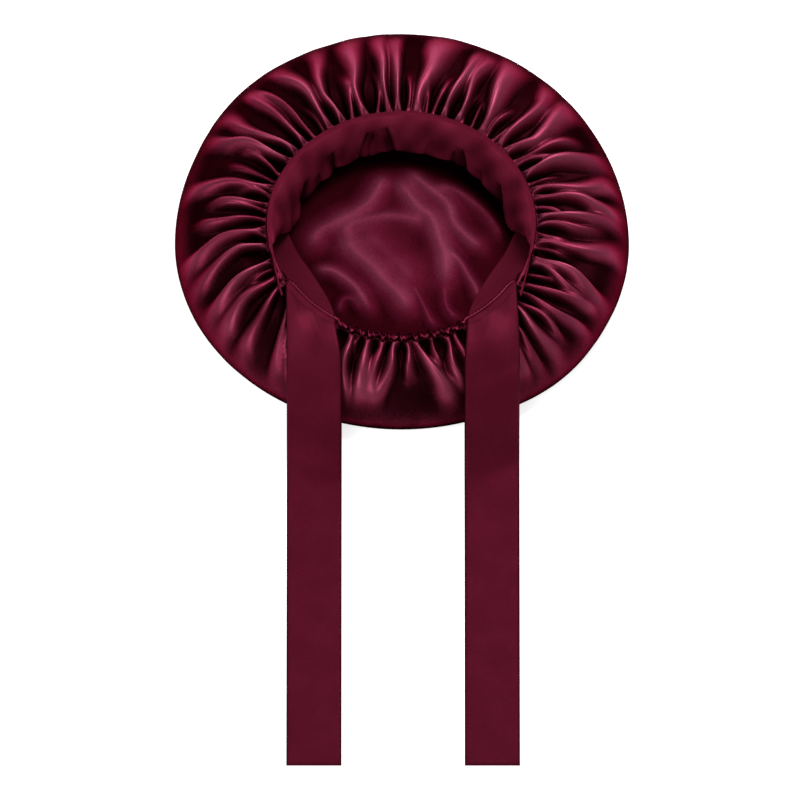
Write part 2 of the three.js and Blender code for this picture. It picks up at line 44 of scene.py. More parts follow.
PHOTO_CENTRE = Vector((-0.001, -0.1255, 0.0))
CAMERA_ELEVATION = math.radians(60)
CAMERA_LENS = 1500
CAMERA_SENSOR = 36
ROOM_LIGHT = 0.36

camera_data = bpy.data.cameras.new("camera")
camera_data.lens = CAMERA_LENS
camera_data.sensor_width = CAMERA_SENSOR
camera_data.clip_end = 100
camera = bpy.data.objects.new("camera", camera_data)
distance = PHOTO_WIDTH * CAMERA_LENS / CAMERA_SENSOR
toward_camera = Vector((0, -math.cos(CAMERA_ELEVATION), math.sin(CAMERA_ELEVATION)))
camera.location = PHOTO_CENTRE + distance * toward_camera
camera.rotation_euler = (math.pi / 2 - CAMERA_ELEVATION, 0, 0)
bpy.context.scene.collection.objects.link(camera)
bpy.context.scene.camera = camera


def soft_light(name, place, aim, size, power):
    """A softbox at a place, in metres, that faces another."""
    data = bpy.data.lights.new(name, "AREA")
    data.shape = "RECTANGLE"
    data.size, data.size_y = size
    data.energy = power
    light = bpy.data.objects.new(name, data)
    light.location = place
    light.rotation_euler = (Vector(aim) - Vector(place)).to_track_quat("-Z", "Y").to_euler()
    bpy.context.scene.collection.objects.link(light)


soft_light("key_softbox", (0.42, 0.72, 1.45), (0, 0, 0), (0.8, 0.8), 17)
soft_light("front_softbox", (-0.7, -0.9, 1.2), (0, -0.1, 0), (1.2, 0.6), 8)
soft_light("low_back_softbox", (-0.2, 1.6, 0.6), (0, 0, 0), (2.4, 0.6), 12)

world = bpy.data.worlds.new("studio")
world.use_nodes = True
room = world.node_tree.nodes["Background"].inputs
room["Color"].default_value = (1, 1, 1, 1)
room["Strength"].default_value = ROOM_LIGHT
bpy.context.scene.world = world
bpy.context.scene.view_settings.view_transform = "Standard"

# The crown is a round bag of satin, two light layers sewn as one. Its edge is gathered into
# the opening, so that the cloth stands up all round in a ring of soft folds, turns under at
# the rim and lies flat inside the ring, where it shows through the opening.

# From here on sizes are in millimetres, angles in degrees and the rest are shares.
OPENING_RADIUS = 98
OPENING_FRONT_PULL = 4.5
SEAM_HEIGHT = 43.5
SIDE_RADIUS = 168
FRONT_RADIUS = 180
NAPE_RADIUS = 156.5
RIM_SWELL = 3
PUFF_HEIGHT = 46
CROWN_CLOTH = 1.3
GATHER_DEPTH = 11
LINING_FOLD_HEIGHT = 4.5
CROWN_AROUND = 960
FLOOR_AROUND = 360
SECTION_STEPS = 451
SLOPE_STEP = 0.05
FOLD_STEPS = 90

# Half the width of a full gather in millimetres, at shares of the way from the seam to the rim.
GATHER_WAY = [0, 0.1, 0.3, 0.6, 1.1]
GATHER_HALF_WIDTH = [2, 3.2, 5.8, 8.8, 14]

# At the seam each gather ends in two small ridges, which stand this far from its middle and
# come together over FOOT_REACH of the way out.
FULL_FOOT = 1.7
SMALL_FOOT = 0.6
FOOT_REACH = 0.2

# What keeps the gathers from looking alike: how many degrees a crest wanders, how much steeper
# one of its sides is and how much its height varies. The pinches are the small puckers between
# the stitches of the seam.
CREST_WANDER = 0.8
CREST_LEAN = 0.35
CREST_UNEVEN = 0.12
CREST_MERGE = 5
PINCHES = 151
PINCH_DEPTH = 0.3

# The crown's section from the sewn edge to where it lies on the table: share of the way from
# the opening to the rim, share of the puff's height, share of the gathers' depth.
CROWN_SECTION = [
    (0, 0.946, 0),
    (0.035, 0.946, 0.02),
    (0.07, 0.945, 0.5),
    (0.13, 0.965, 0.8),
    (0.22, 0.99, 0.95),
    (0.37, 1, 1),
    (0.55, 0.94, 0.95),
    (0.75, 0.8, 0.55),
    (0.91, 0.58, 0.15),
    (1, 0.31, 0),
    (0.93, 0.07, 0),
    (0.8, 0, 0),
]
RIM_ROW = 9

# Where the rim swells out of its round shape: angle, degrees to each side, share of the swell.
RIM_SWELLS = [(132, 26, 0.65), (314, 24, 0.8), (345, 60, 0.35)]

# The crests of the gathers: angle at the seam, at one and two thirds of the way out and at
# the rim, share of the way that it runs, share of the full height, share of the full width.
CRESTS = [
    (3.4, 2.5, 2.6, 2.7, 1, 1, 1),
    (8.8, 4, 3.5, 3.5, 0.36, 0.8, 0.8),
    (14, 10.9, 7, 5, 1, 1, 1),
    (16.3, 14.2, 12.9, 12.6, 1, 1, 1),
    (20, 19.5, 19, 19, 0.35, 0.6, 0.7),
    (25, 25.8, 24.2, 22.5, 1, 1, 1.1),
    (31, 27.4, 25.5, 25, 0.5, 0.8, 0.8),
    (33.5, 31.5, 30, 29, 0.75, 0.7, 0.9),
    (39.6, 35.9, 39.8, 42, 1, 1, 1.3),
    (42.8, 44.3, 45.3, 50, 1, 0.95, 1),
    (47.3, 45, 45, 45, 0.35, 0.7, 0.7),
    (50, 50.3, 51, 52, 0.4, 0.7, 0.8),
    (53, 56.5, 59.8, 62.5, 1, 1, 1.3),
    (58, 60.5, 61, 61, 0.3, 0.6, 0.7),
    (62.6, 62.8, 63, 63, 0.35, 0.6, 0.7),
    (65.3, 65.6, 66.3, 67.5, 0.9, 1, 0.9),
    (71.2, 70.8, 69.6, 67.5, 0.9, 1, 0.9),
    (76.6, 74, 73, 73, 0.42, 0.7, 0.8),
    (79.5, 80.5, 80, 79, 0.5, 0.6, 0.8),
    (83, 82.6, 80.9, 78, 1, 1, 1.5),
    (87.4, 87.2, 87, 87, 0.4, 0.6, 0.8),
    (91.3, 91.2, 91.2, 91, 0.95, 1, 0.9),
    (94.8, 96.3, 95.8, 95, 1, 1, 0.9),
    (101.3, 98, 97, 97, 0.42, 0.8, 0.8),
    (105.5, 106.9, 104.4, 102, 1, 1, 1.3),
    (112.3, 108.5, 107, 107, 0.5, 0.8, 0.8),
    (116, 118.4, 114.6, 112, 1, 1, 1),
    (122, 122.5, 123.4, 124.5, 1, 1, 1),
    (126, 125.6, 125.5, 125.5, 0.35, 0.6, 0.7),
    (130.5, 130.2, 131, 133, 0.9, 0.8, 0.8),
    (136, 135.5, 134.8, 133.5, 0.95, 1, 0.9),
    (141.7, 144, 144.6, 144, 1, 1, 1),
    (146, 148.3, 150, 149.5, 1, 1, 1),
    (155.7, 151.5, 150.5, 150, 0.55, 0.8, 0.8),
    (159, 158.6, 158.5, 158, 0.6, 0.6, 0.9),
    (161.5, 164, 166, 167.6, 1, 1, 1.1),
    (166.5, 165.2, 165, 165, 0.38, 0.8, 0.8),
    (170, 171, 172.5, 174, 0.7, 0.8, 0.8),
    (173.7, 172.8, 172.5, 174, 0.6, 0.8, 0.8),
    (178, 178, 178.8, 180, 0.8, 0.8, 0.9),
    (181.5, 184, 187, 189.5, 1, 1, 1),
    (186, 184.8, 184, 184, 0.38, 0.8, 0.8),
    (191, 190.8, 195.5, 199.5, 1, 1, 1),
    (197.5, 200.7, 204, 207, 1, 0.95, 1),
    (202, 204.5, 206, 208, 0.45, 0.7, 0.8),
    (205.5, 208.4, 211.3, 214, 1, 0.95, 1.1),
    (210, 215.2, 219.3, 223, 1, 0.9, 1),
    (216.5, 224, 229, 234, 1, 0.9, 0.85),
    (221, 227.5, 232.5, 237, 0.9, 0.8, 0.6),
    (225, 231, 236, 240, 0.95, 0.9, 0.8),
    (230, 234.5, 239, 243, 0.9, 0.8, 0.6),
    (234, 238, 242, 246, 0.9, 0.9, 0.8),
    (241.5, 243.5, 246, 248, 0.7, 0.8, 0.9),
    (248, 250.3, 252.5, 253.8, 0.95, 0.9, 1),
    (252, 252, 252, 252, 0.3, 0.6, 0.7),
    (256, 256.4, 257, 257.5, 0.9, 1, 1.1),
    (262, 261.6, 261, 260.5, 0.9, 0.9, 1),
    (268.7, 266.8, 264, 262, 0.9, 1, 1),
    (271.5, 272.5, 273, 274, 0.6, 0.8, 0.8),
    (275, 278.2, 283, 285, 0.95, 1, 1.1),
    (283, 283, 284, 285, 0.5, 0.7, 0.8),
    (288.5, 288, 288.5, 289, 0.8, 0.9, 0.9),
    (293, 292.2, 292, 292, 0.8, 0.8, 0.9),
    (299, 297.2, 296, 295, 0.9, 0.9, 0.8),
    (302, 300.5, 298.8, 297.5, 0.9, 0.8, 0.6),
    (305, 303.5, 301.7, 300, 0.95, 0.9, 0.7),
    (308.2, 306.8, 304.8, 303, 0.95, 0.8, 0.6),
    (311, 310, 308.6, 307.2, 0.95, 0.95, 0.75),
    (315, 314, 312.4, 311, 1, 0.85, 0.65),
    (319, 318.2, 317, 316, 1, 1, 0.85),
    (322.5, 322.4, 322.2, 322, 0.85, 0.8, 0.6),
    (325.6, 326.6, 327.6, 328.5, 1, 0.9, 0.65),
    (328.9, 331.5, 334.3, 335.3, 0.95, 1, 0.8),
    (335, 336.5, 336, 336, 0.38, 0.7, 0.7),
    (340.7, 338.7, 336, 335.6, 0.8, 0.9, 0.9),
    (344, 342.4, 340.6, 338.5, 1, 1, 0.85),
    (349, 347.2, 346.5, 346, 0.42, 0.7, 0.8),
    (351.5, 350.3, 351, 352, 1, 1, 1.1),
    (356, 353, 352, 352, 0.42, 0.8, 0.8),
    (359.5, 359.3, 359, 359, 0.75, 0.8, 0.9),
]

# The folds of the cloth inside the opening: points along each crest, rightwards and forwards
# in shares of the opening's radius, then its height and half its width, also as shares.
INNER_FOLDS = [
    ([(-0.3, 0.16), (-0.16, 0.04), (-0.02, -0.12), (0.12, -0.3)], 0.62, 0.42),
    ([(-0.1, 0.74), (-0.25, 0.43), (-0.51, 0.25), (-0.64, 0.16), (-0.72, -0.02)], 0.9, 0.21),
    ([(-0.1, 0.74), (0.1, 0.42), (0.22, 0.3), (0.28, 0.12), (0.33, -0.1), (0.31, -0.48)], 1, 0.22),
    ([(0, 0.75), (0.18, 0.58), (0.34, 0.42), (0.4, 0.24), (0.53, 0.09), (0.65, 0)], 0.95, 0.18),
    ([(0.24, 0.58), (0.4, 0.54), (0.6, 0.38), (0.72, 0.22), (0.77, 0.09)], 0.75, 0.15),
    ([(-0.44, 0.1), (-0.4, 0.22), (-0.25, 0.28), (-0.1, 0.31), (0.08, 0.28), (0.2, 0.2)], 0.8, 0.19),
    ([(-0.44, 0.14), (-0.36, 0), (-0.22, -0.14), (-0.12, -0.27), (0, -0.41), (0.06, -0.6)], 0.95, 0.25),
    ([(-0.65, -0.17), (-0.54, -0.17), (-0.43, -0.24), (-0.33, -0.35), (-0.18, -0.64)], 0.95, 0.14),
    ([(-0.48, -0.54), (-0.45, -0.43), (-0.38, -0.42), (-0.27, -0.58)], 0.6, 0.08),
    ([(0.34, 0.03), (0.44, -0.09), (0.5, -0.21), (0.56, -0.33), (0.58, -0.45)], 0.8, 0.11),
    ([(0.32, -0.3), (0.34, -0.48), (0.42, -0.6)], 0.6, 0.1),
    ([(0.08, -0.3), (0.14, -0.41), (0.2, -0.56), (0.26, -0.68)], 0.6, 0.09),
]


def ease(t):
    """A soft step from 0 to 1."""
    t = np.clip(t, 0, 1)
    return t * t * (3 - 2 * t)


def smooth_curve(points, steps):
    """Evenly counted points along a smooth curve through the given ones."""
    knots = np.array(points, float)
    knots = np.vstack([2 * knots[0] - knots[1], knots, 2 * knots[-1] - knots[-2]])
    place = np.linspace(0, len(knots) - 3, steps)
    nearest = np.minimum(place.astype(int), len(knots) - 4)
    way = (place - nearest)[:, None]
    before, start, end, after = (knots[nearest + k] for k in range(4))
    bend = 2 * before - 5 * start + 4 * end - after
    twist = 3 * start - before - 3 * end + after
    return 0.5 * (2 * start + (end - before) * way + bend * way**2 + twist * way**3)


def opening_radius(angle):
    """The opening's radius, which the band draws in a little at the front."""
    return OPENING_RADIUS - OPENING_FRONT_PULL * np.maximum(0, np.sin(angle)) ** 1.5


def degrees_past(angle, place):
    """How far an angle in radians lies past a place in degrees, from -180 to 180 degrees."""
    return (np.degrees(angle) - place + 540) % 360 - 180


def rim_radius(angle):
    """The radius of the crown's outline, a round that reaches farther in front than behind."""
    along = np.sin(angle)
    reach = np.where(along > 0, FRONT_RADIUS, NAPE_RADIUS)
    radius = 1 / np.hypot(np.cos(angle) / SIDE_RADIUS, along / reach)
    for place, wide, far in RIM_SWELLS:
        turn = np.abs(degrees_past(angle, place))
        radius = radius + RIM_SWELL * far * (1 - ease(turn / wide))
    return radius


def gather_height(angle, out, around_mm):
    """Height of the gathers, 0 in the deepest folds and 1 on a full crest.

    The odd factors on each crest's number only keep neighbours from looking alike.
    """
    total = np.zeros(np.broadcast(angle, out).shape)
    half_width = np.interp(out, GATHER_WAY, GATHER_HALF_WIDTH)
    at_seam = 1 - ease(out / FOOT_REACH)
    for number, (*places, reach, tall, wide) in enumerate(CRESTS):
        wander = CREST_WANDER * math.sin(2.4 * number) * np.sin(3 * math.pi * out)
        turn = degrees_past(angle, np.interp(out, [0, 1 / 3, 2 / 3, 1], places) + wander)
        foot = (FULL_FOOT if tall > 0.85 else SMALL_FOOT) * at_seam
        steeper = 1 + CREST_LEAN * math.sin(1.7 * number) * np.sign(turn) * (1 - at_seam)
        away = np.abs(np.abs(turn) * around_mm * steeper - foot) / (half_width * wide)
        left = 1 - ease((out - reach + 0.18) / 0.3) if reach < 1 else 1
        swell = 1 - CREST_UNEVEN + CREST_UNEVEN * np.sin(5.1 * number + 5 * out)
        bump = (1 - np.minimum(away, 1) ** 2) ** 1.6
        total += (tall * left * swell * bump) ** CREST_MERGE
    pinch = 0.5 + 0.5 * np.sin(PINCHES * angle + 2.2 * np.sin(7 * angle) + 1.3 * np.sin(13 * angle))
    near = 1 - ease((out - 0.02) / 0.1)
    return total ** (1 / CREST_MERGE) * (1 - PINCH_DEPTH * near * pinch)


def inner_fold_height(x, y):
    """Height of the folds inside the opening, 0 to 1. x and y are in millimetres."""
    height = np.zeros_like(x)
    share = np.linspace(0, 1, FOLD_STEPS)
    for path, tall, wide in INNER_FOLDS:
        line = smooth_curve(path, FOLD_STEPS) * OPENING_RADIUS
        # A fold rises over its first eighth and dies away over its last fifth.
        fade = tall * ease(share * 8) * ease((1 - share) * 5)
        best = np.zeros_like(x)
        for (at_x, at_y), strength in zip(line, fade):
            away = np.minimum(np.hypot(x - at_x, y - at_y) / (wide * OPENING_RADIUS), 1)
            ridge = 0.45 * (1 - away**2) ** 2 + 0.55 * (1 - away) ** 2.2
            best = np.maximum(best, strength * ridge)
        height += best**3
    return height ** (1 / 3)


def faces_between(lower, upper):
    """Faces between two rings of vertex numbers that may differ in length."""
    n, m = len(lower), len(upper)
    if n == m:
        nxt = np.roll(np.arange(n), -1)
        return np.stack([lower, lower[nxt], upper[nxt], upper], 1).tolist()
    faces = []
    i = j = 0
    while i < n or j < m:
        if j == m or (i < n and (i + 1) / n <= (j + 1) / m):
            faces.append((lower[i % n], lower[(i + 1) % n], upper[j % m]))
            i += 1
        else:
            faces.append((lower[i % n], upper[(j + 1) % m], upper[j % m]))
            j += 1
    return faces


def piece_from(name, points, faces, painted_shading, material, second=None, second_faces=()):
    """A new piece from points in millimetres, painted from shade (0, in a fold) to highlight (1, on a
    crest).
    """
    mesh = bpy.data.meshes.new(name)
    mesh.from_pydata((np.asarray(points) / 1000).tolist(), [], faces)
    # Each point keeps its painted shading, which the materials turn into painted shade and highlights.
    painted_shading_layer = mesh.attributes.new("painted_fold_shading", "FLOAT", "POINT")
    painted_shading_layer.data.foreach_set("value", np.asarray(painted_shading, np.float32))
    mesh.polygons.foreach_set("use_smooth", [True] * len(mesh.polygons))
    mesh.materials.append(material)
    if second:
        mesh.materials.append(second)
        is_second = np.isin(np.arange(len(faces)), second_faces)
        mesh.polygons.foreach_set("material_index", is_second.astype(int))
    piece = bpy.data.objects.new(name, mesh)
    bpy.context.scene.collection.objects.link(piece)
    return piece


def linear(hex_colour):
    """An sRGB hex colour as linear red, green, blue and 1."""
    parts = [int(hex_colour[i : i + 2], 16) / 255 for i in (1, 3, 5)]
    return [c / 12.92 if c <= 0.04045 else ((c + 0.055) / 1.055) ** 2.4 for c in parts] + [1]


def add_node(tree, kind, links=None, **settings):
    """A node with its sockets' values or links, and its own settings."""
    node = tree.nodes.new(kind)
    for key, value in settings.items():
        setattr(node, key, value)
    for key, value in (links or {}).items():
        if isinstance(value, bpy.types.NodeSocket):
            tree.links.new(value, node.inputs[key])
        else:
            node.inputs[key].default_value = value
    return node


# The real weave's floats are about 0.1 mm wide. The grain is drawn coarser than that, because
# it wouldn't show in the render otherwise. The blotches are the faint unevenness of the cloth.
GRAIN_MM = 1.3
GRAIN_DEPTH_MM = 0.02
GRAIN_SHARE = 0.22
GRAIN_STRENGTH = 0.35
BLOTCHES_PER_METRE = 45
BLOTCH_SHARE = 0.2


def satin(name, tones, metallic, roughness, edge_tint, grain_mm=GRAIN_MM):
    """Woven satin. tones: its painted colours, from shade deep in a fold to a highlight on its crest,
    as (shade, hex).
    """
    material = bpy.data.materials.new(name)
    material.use_nodes = True
    tree = material.node_tree
    tree.nodes.clear()
    place = add_node(tree, "ShaderNodeTexCoord").outputs["Object"]
    # The painted shading places each point's colour on the ramp, from painted shade to painted
    # highlight.
    fold = add_node(tree, "ShaderNodeAttribute", attribute_name="painted_fold_shading").outputs["Fac"]
    blotch, grain = [
        add_node(
            tree, "ShaderNodeTexNoise", {"Vector": place, "Scale": scale, "Detail": 2}
        ).outputs["Fac"]
        for scale in (BLOTCHES_PER_METRE, 1000 / grain_mm)
    ]
    level = fold
    for pattern, share in ((blotch, BLOTCH_SHARE), (grain, GRAIN_SHARE)):
        values = {0: pattern, 1: share, 2: -share / 2}
        uneven = add_node(tree, "ShaderNodeMath", values, operation="MULTIPLY_ADD").outputs[0]
        level = add_node(tree, "ShaderNodeMath", {0: level, 1: uneven}, operation="ADD").outputs[0]
    ramp = add_node(tree, "ShaderNodeValToRGB", {"Fac": level})
    stops = ramp.color_ramp.elements
    for position, tone in tones[1:-1]:
        stops.new(position).color = linear(tone)
    stops[0].color, stops[-1].color = linear(tones[0][1]), linear(tones[-1][1])
    bump = add_node(
        tree,
        "ShaderNodeBump",
        {"Height": grain, "Strength": GRAIN_STRENGTH, "Distance": GRAIN_DEPTH_MM / 1000},
    )
    shader = add_node(
        tree,
        "ShaderNodeBsdfPrincipled",
        {
            "Base Color": ramp.outputs["Color"],
            "Metallic": metallic,
            "Roughness": roughness,
            "Specular IOR Level": 0.0,
            "Specular Tint": linear(edge_tint),
            "Normal": bump.outputs["Normal"],
        },
    )
    add_node(tree, "ShaderNodeOutputMaterial", {"Surface": shader.outputs["BSDF"]})
    return material


# Painted shading of the gathers: painted shade deep in the folds, painted highlights on the
# crests. The valleys between the crests spread and darken with VALLEY_POWER, less so on the
# lighter side and at the nape, and the cloth under the rim is painted darker.
SMOOTH_SHADE = 0.48
VALLEY_SHADE = 0.15
VALLEY_POWER = 1.3
PAINTED_LIT_SIDE = math.radians(55)
UNDERSIDE_PAINTED_SHADE = 0.7

# Painted shading of the cloth inside: painted highlights on its folds, and a painted shadow under
# the band's hanging edge, which reaches farthest in on the side that the light comes from.
FLOOR_EDGE = CROWN_SECTION[-1][0]
FLOOR_SHADE = 0.34
FLOOR_FOLD_SHADE = 0.62
PAINTED_SHADOW_FROM = 0.86
PAINTED_SHADOW_REACH = 0.16
PAINTED_SHADOW_BLUR = 0.12
LIGHT_RIGHTWARDS = 0.35
LIGHT_FORWARDS = 0.65
LIGHT_SPREAD = 1.4
LAST_ROW = len(CROWN_SECTION) - 1


def crown_points(rows, around, inset):
    """Rings of x, y, z and painted shading at rows of the crown's section, inset from its outer face.
    """
    section = smooth_curve(CROWN_SECTION, SECTION_STEPS)
    along = np.linspace(0, LAST_ROW, SECTION_STEPS)
    angle = np.arange(around) * 2 * math.pi / around
    rim, opening = rim_radius(angle), opening_radius(angle)
    toward_nape = np.maximum(0, -np.sin(angle))
    # Painted shade: the smooth cloth is painted darker towards the nape, and the valleys are painted
    # broader and darker away from the lighter side and at the nape.
    smooth = SMOOTH_SHADE - 0.15 * toward_nape**2
    power = VALLEY_POWER - 0.5 * np.maximum(0, np.cos(angle - PAINTED_LIT_SIDE)) - 0.5 * toward_nape**4
    rings = []
    for row in rows:
        out, up, fold = (np.interp(row, along, section[:, k]) for k in range(3))
        ahead, behind = min(row + SLOPE_STEP, LAST_ROW), max(row - SLOPE_STEP, 0)
        run_out = np.interp(ahead, along, section[:, 0]) - np.interp(behind, along, section[:, 0])
        run_up = np.interp(ahead, along, section[:, 1]) - np.interp(behind, along, section[:, 1])
        base = opening + out * (rim - opening)
        run = np.stack([run_out * (rim - opening), np.full(around, run_up * PUFF_HEIGHT)])
        run /= np.hypot(*run)
        face_out, face_up = -run[1], run[0]
        way = out if row <= RIM_ROW else 2 - out
        gather = gather_height(angle, way, base * math.pi / 180)
        lift = fold * GATHER_DEPTH * (gather - 0.5) - inset
        radius = base + face_out * lift
        height = np.maximum(up * PUFF_HEIGHT + face_up * lift, inset)
        # Painted shade in the valleys and painted highlights on the crests, fading to the smooth tone
        # towards the rim; under the rim the cloth is painted darker.
        valley = VALLEY_SHADE * ease((out - 0.12) / 0.3)
        folded = valley + (1 - valley) * gather**power
        painted_shading = smooth + (folded - smooth) * min(1, 2.6 * fold)
        painted_shading *= 1 - UNDERSIDE_PAINTED_SHADE * ease((row - RIM_ROW + 0.1) / 0.9)
        rings.append(np.stack([radius * np.cos(angle), radius * np.sin(angle), height, painted_shading], 1))
    return rings


def floor_points(shares, around, inset):
    """Rings of x, y, z and painted shading of the cloth that lies inside, at shares of its radius."""
    angle = np.arange(around) * 2 * math.pi / around
    opening = opening_radius(angle)
    rest = opening + FLOOR_EDGE * (rim_radius(angle) - opening)
    rings = []
    for share in shares:
        x, y = rest * share * np.cos(angle), rest * share * np.sin(angle)
        away = np.hypot(x, y)
        fold = inner_fold_height(x, y)
        # A painted shadow under the band's hanging edge, deepest on the side the light comes from, and
        # painted highlights on the folds.
        lit = (LIGHT_RIGHTWARDS * x + LIGHT_FORWARDS * y) / away
        toward_light = 0.5 + lit / LIGHT_SPREAD
        edge = away / OPENING_RADIUS - PAINTED_SHADOW_FROM + PAINTED_SHADOW_REACH * toward_light
        painted_band_shadow = ease(edge / PAINTED_SHADOW_BLUR) * toward_light
        painted_shading = (FLOOR_SHADE + FLOOR_FOLD_SHADE * fold) * (1 - painted_band_shadow)
        rings.append(np.stack([x, y, fold * LINING_FOLD_HEIGHT + inset, painted_shading], 1))
    return rings


def section_rows(edge, gathers, under):
    """Rows of the crown's section: how many at its edge, on the gathers and under the rim."""
    parts = [np.linspace(0, 3, edge)[:-1], np.linspace(3, RIM_ROW, gathers)[:-1]]
    return np.concatenate([*parts, np.linspace(RIM_ROW, LAST_ROW, under)])


# Polyester satin, woven with long floats on its outer face. It mirrors broad lights softly, and
# its colour is painted too: each crest gleams pink with a painted highlight, each valley goes
# nearly black with painted shade, and the rim is ringed with dark red from its tinted edge
# reflection and painted shade.
crown_satin = satin(
    "crown_satin_weave",
    [(0, "#070001"), (0.25, "#2a0710"), (0.5, "#5e1a2d"), (0.7, "#7c2a42"), (1, "#963f59")],
    metallic=0.9,
    roughness=0.44,
    edge_tint="#44202c",
)
# The same woven satin as the inner layer, painted darker for the bonnet's own shade: the folds
# only show as broad, soft lights, partly painted highlights, without a hard gleam.
lining_satin = satin(
    "lining_satin_weave",
    [(0, "#0a0002"), (0.4, "#30040d"), (0.65, "#521024"), (1, "#783048")],
    metallic=0.35,
    roughness=0.5,
    edge_tint="#4a1024",
)

fine_rows = section_rows(15, 26, 7)
back_rows = section_rows(8, 13, 4)
floor_shares = np.concatenate([[0.85, 0.7], np.linspace(0.6, 0.04, 38)])
outer_rings = floor_points(floor_shares[::-1], FLOOR_AROUND, 0)
outer_rings += crown_points(fine_rows[::-1], CROWN_AROUND, 0)
inner_rings = crown_points(back_rows, CROWN_AROUND, CROWN_CLOTH)
inner_rings += floor_points(floor_shares, FLOOR_AROUND, CROWN_CLOTH)
rings = outer_rings + inner_rings
middle = floor_points([1e-4], 1, 0)[0]
points = np.vstack([middle, *rings, middle + [0, 0, CROWN_CLOTH, 0]])
starts = np.cumsum([1] + [len(ring) for ring in rings])
numbers = [np.arange(starts[k], starts[k + 1]) for k in range(len(rings))]
faces = []
for k, (lower, upper) in enumerate(zip(numbers, numbers[1:])):
    if k == len(outer_rings):
        lining_start = len(faces)
    faces += faces_between(lower, upper)
first, last, top = numbers[0], numbers[-1], len(points) - 1
faces += [(0, int(b), int(a)) for a, b in zip(first, np.roll(first, -1))]
faces += [(top, int(a), int(b)) for a, b in zip(last, np.roll(last, -1))]
lining_faces = np.arange(lining_start, len(faces))
painted_shading = points[:, 3]
crown = piece_from(
    "crown_cloth", points[:, :3], faces, painted_shading, crown_satin, lining_satin, lining_faces
)

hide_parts("crown")
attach(crown, "root")

# The front band is a strip of the same satin, doubled and about 4 cm wide. It is sewn over the
# gathers' ends round the front two thirds of the opening and hangs inwards, softly buckled. At
# each end it narrows to a tail, which runs out over the gathers beside the tie.
BAND_WIDTH = 39.5
BAND_NARROWER = 6.5
BAND_FREE_HEIGHT = 7
BAND_LIP = 2.4
BAND_LIP_RISE = 1.3
BAND_INSET = 1.4
BAND_CLOTH = 1.6
BAND_TAPER = 26
BAND_TAIL_FROM = 12
BAND_TAIL_TO = 37
BAND_TAIL_WIDTH = 2.8
BAND_TAIL_OUT = 10.4
BAND_TIP = 0.6
BAND_DENT = 5
BAND_RIPPLE = 1.2
BAND_COLUMNS = 900
BAND_ROWS = 44

# The swell of the hanging part below its seam, as a share of its width, and the factor that
# brings the swell's curve to 1 where it is fullest.
BAND_ROLL = 0.09
ROLL_CURVE = 6.76

# How far the band and the other pieces on the crown's sewn edge keep above it, and how far
# from the middle line the band's tails stay, just outside the ties.
ON_SEAM = 0.35
TIE_SIDE = 87.7

# The half widths of a crease in degrees: where it is pressed in, where the cloth buckles
# towards it and its painted dark line of shade. Its fainter second painted dark line and its
# painted line of light lie beside it.
CREASE_PRESSED = 1.1
CREASE_BUCKLED = 5.5
CREASE_DARK = 0.9
SECOND_DARK = 2
SECOND_BESIDE = 2.2
CREASE_LIGHT = 1.5
LIGHT_BESIDE = 2.6

# Painted shading of the band: a painted dark line of shade along its upper edge, its lip, painted
# a little darker so that it doesn't look lit, and where it hangs.
BAND_EDGE_PAINTED_SHADOW = 0.1
BAND_LIP_SHADE = 0.56
BAND_SHADE = 0.64

# The creases of the band: angle at its free edge, how many degrees each has leaned by its top,
# share of the full depth, how far up the band it reaches, and the share of its sharp middle.
CREASES = [
    (12, 3, 0.35, 0.6, 0.3),
    (27.2, 3, 1, 0.62, 0.9),
    (43.6, 2, 0.6, 0.4, 0.6),
    (54.8, 3, 1, 0.68, 0.9),
    (63.1, -2, 0.65, 0.5, 0.7),
    (77.4, -4, 0.4, 0.6, 0.5),
    (93.7, 4.5, 0.9, 0.92, 0.9),
    (101, 0, 0.6, 0.9, 0),
    (107.3, -3.5, 0.6, 0.8, 0.9),
    (111.5, -5, 0.9, 0.86, 0.9),
    (126, 1.5, 1, 0.72, 0.9),
    (137, 2, 0.6, 0.4, 0.6),
    (151.6, -4.5, 1, 0.6, 1),
    (168, -3, 0.35, 0.5, 0.3),
]


def plate(grid, thick):
    """Points and faces of a closed plate on a grid of points, grown to the side that it faces."""
    grid = np.asarray(grid, float)
    along = np.gradient(grid, axis=0)
    across = np.gradient(grid, axis=1)
    normal = np.cross(across, along)
    normal /= np.linalg.norm(normal, axis=2, keepdims=True)
    far = grid + normal * np.asarray(thick)[..., None]
    rows, columns = grid.shape[:2]
    points = np.vstack([grid.reshape(-1, 3), far.reshape(-1, 3)])
    near = np.arange(rows * columns).reshape(rows, columns)
    over = near + rows * columns
    quads = [
        (over[:-1, :-1], over[:-1, 1:], over[1:, 1:], over[1:, :-1]),
        (near[:-1, :-1], near[1:, :-1], near[1:, 1:], near[:-1, 1:]),
        (near[:-1, 0], over[:-1, 0], over[1:, 0], near[1:, 0]),
        (near[:-1, -1], near[1:, -1], over[1:, -1], over[:-1, -1]),
        (near[0, :-1], near[0, 1:], over[0, 1:], over[0, :-1]),
        (near[-1, :-1], over[-1, :-1], over[-1, 1:], near[-1, 1:]),
    ]
    faces = np.vstack([np.stack([q.ravel() for q in quad], 1) for quad in quads]).tolist()
    return points, faces


def bell(away, half_width):
    """A soft hump of height 1."""
    return np.exp(-((away / half_width) ** 2))


def crest_height(out):
    """Height of the full crests of the gathers at a share of the way out."""
    rows = np.array(CROWN_SECTION[:RIM_ROW])
    return np.interp(out, rows[:, 0], rows[:, 1] * PUFF_HEIGHT + rows[:, 2] * GATHER_DEPTH / 2)


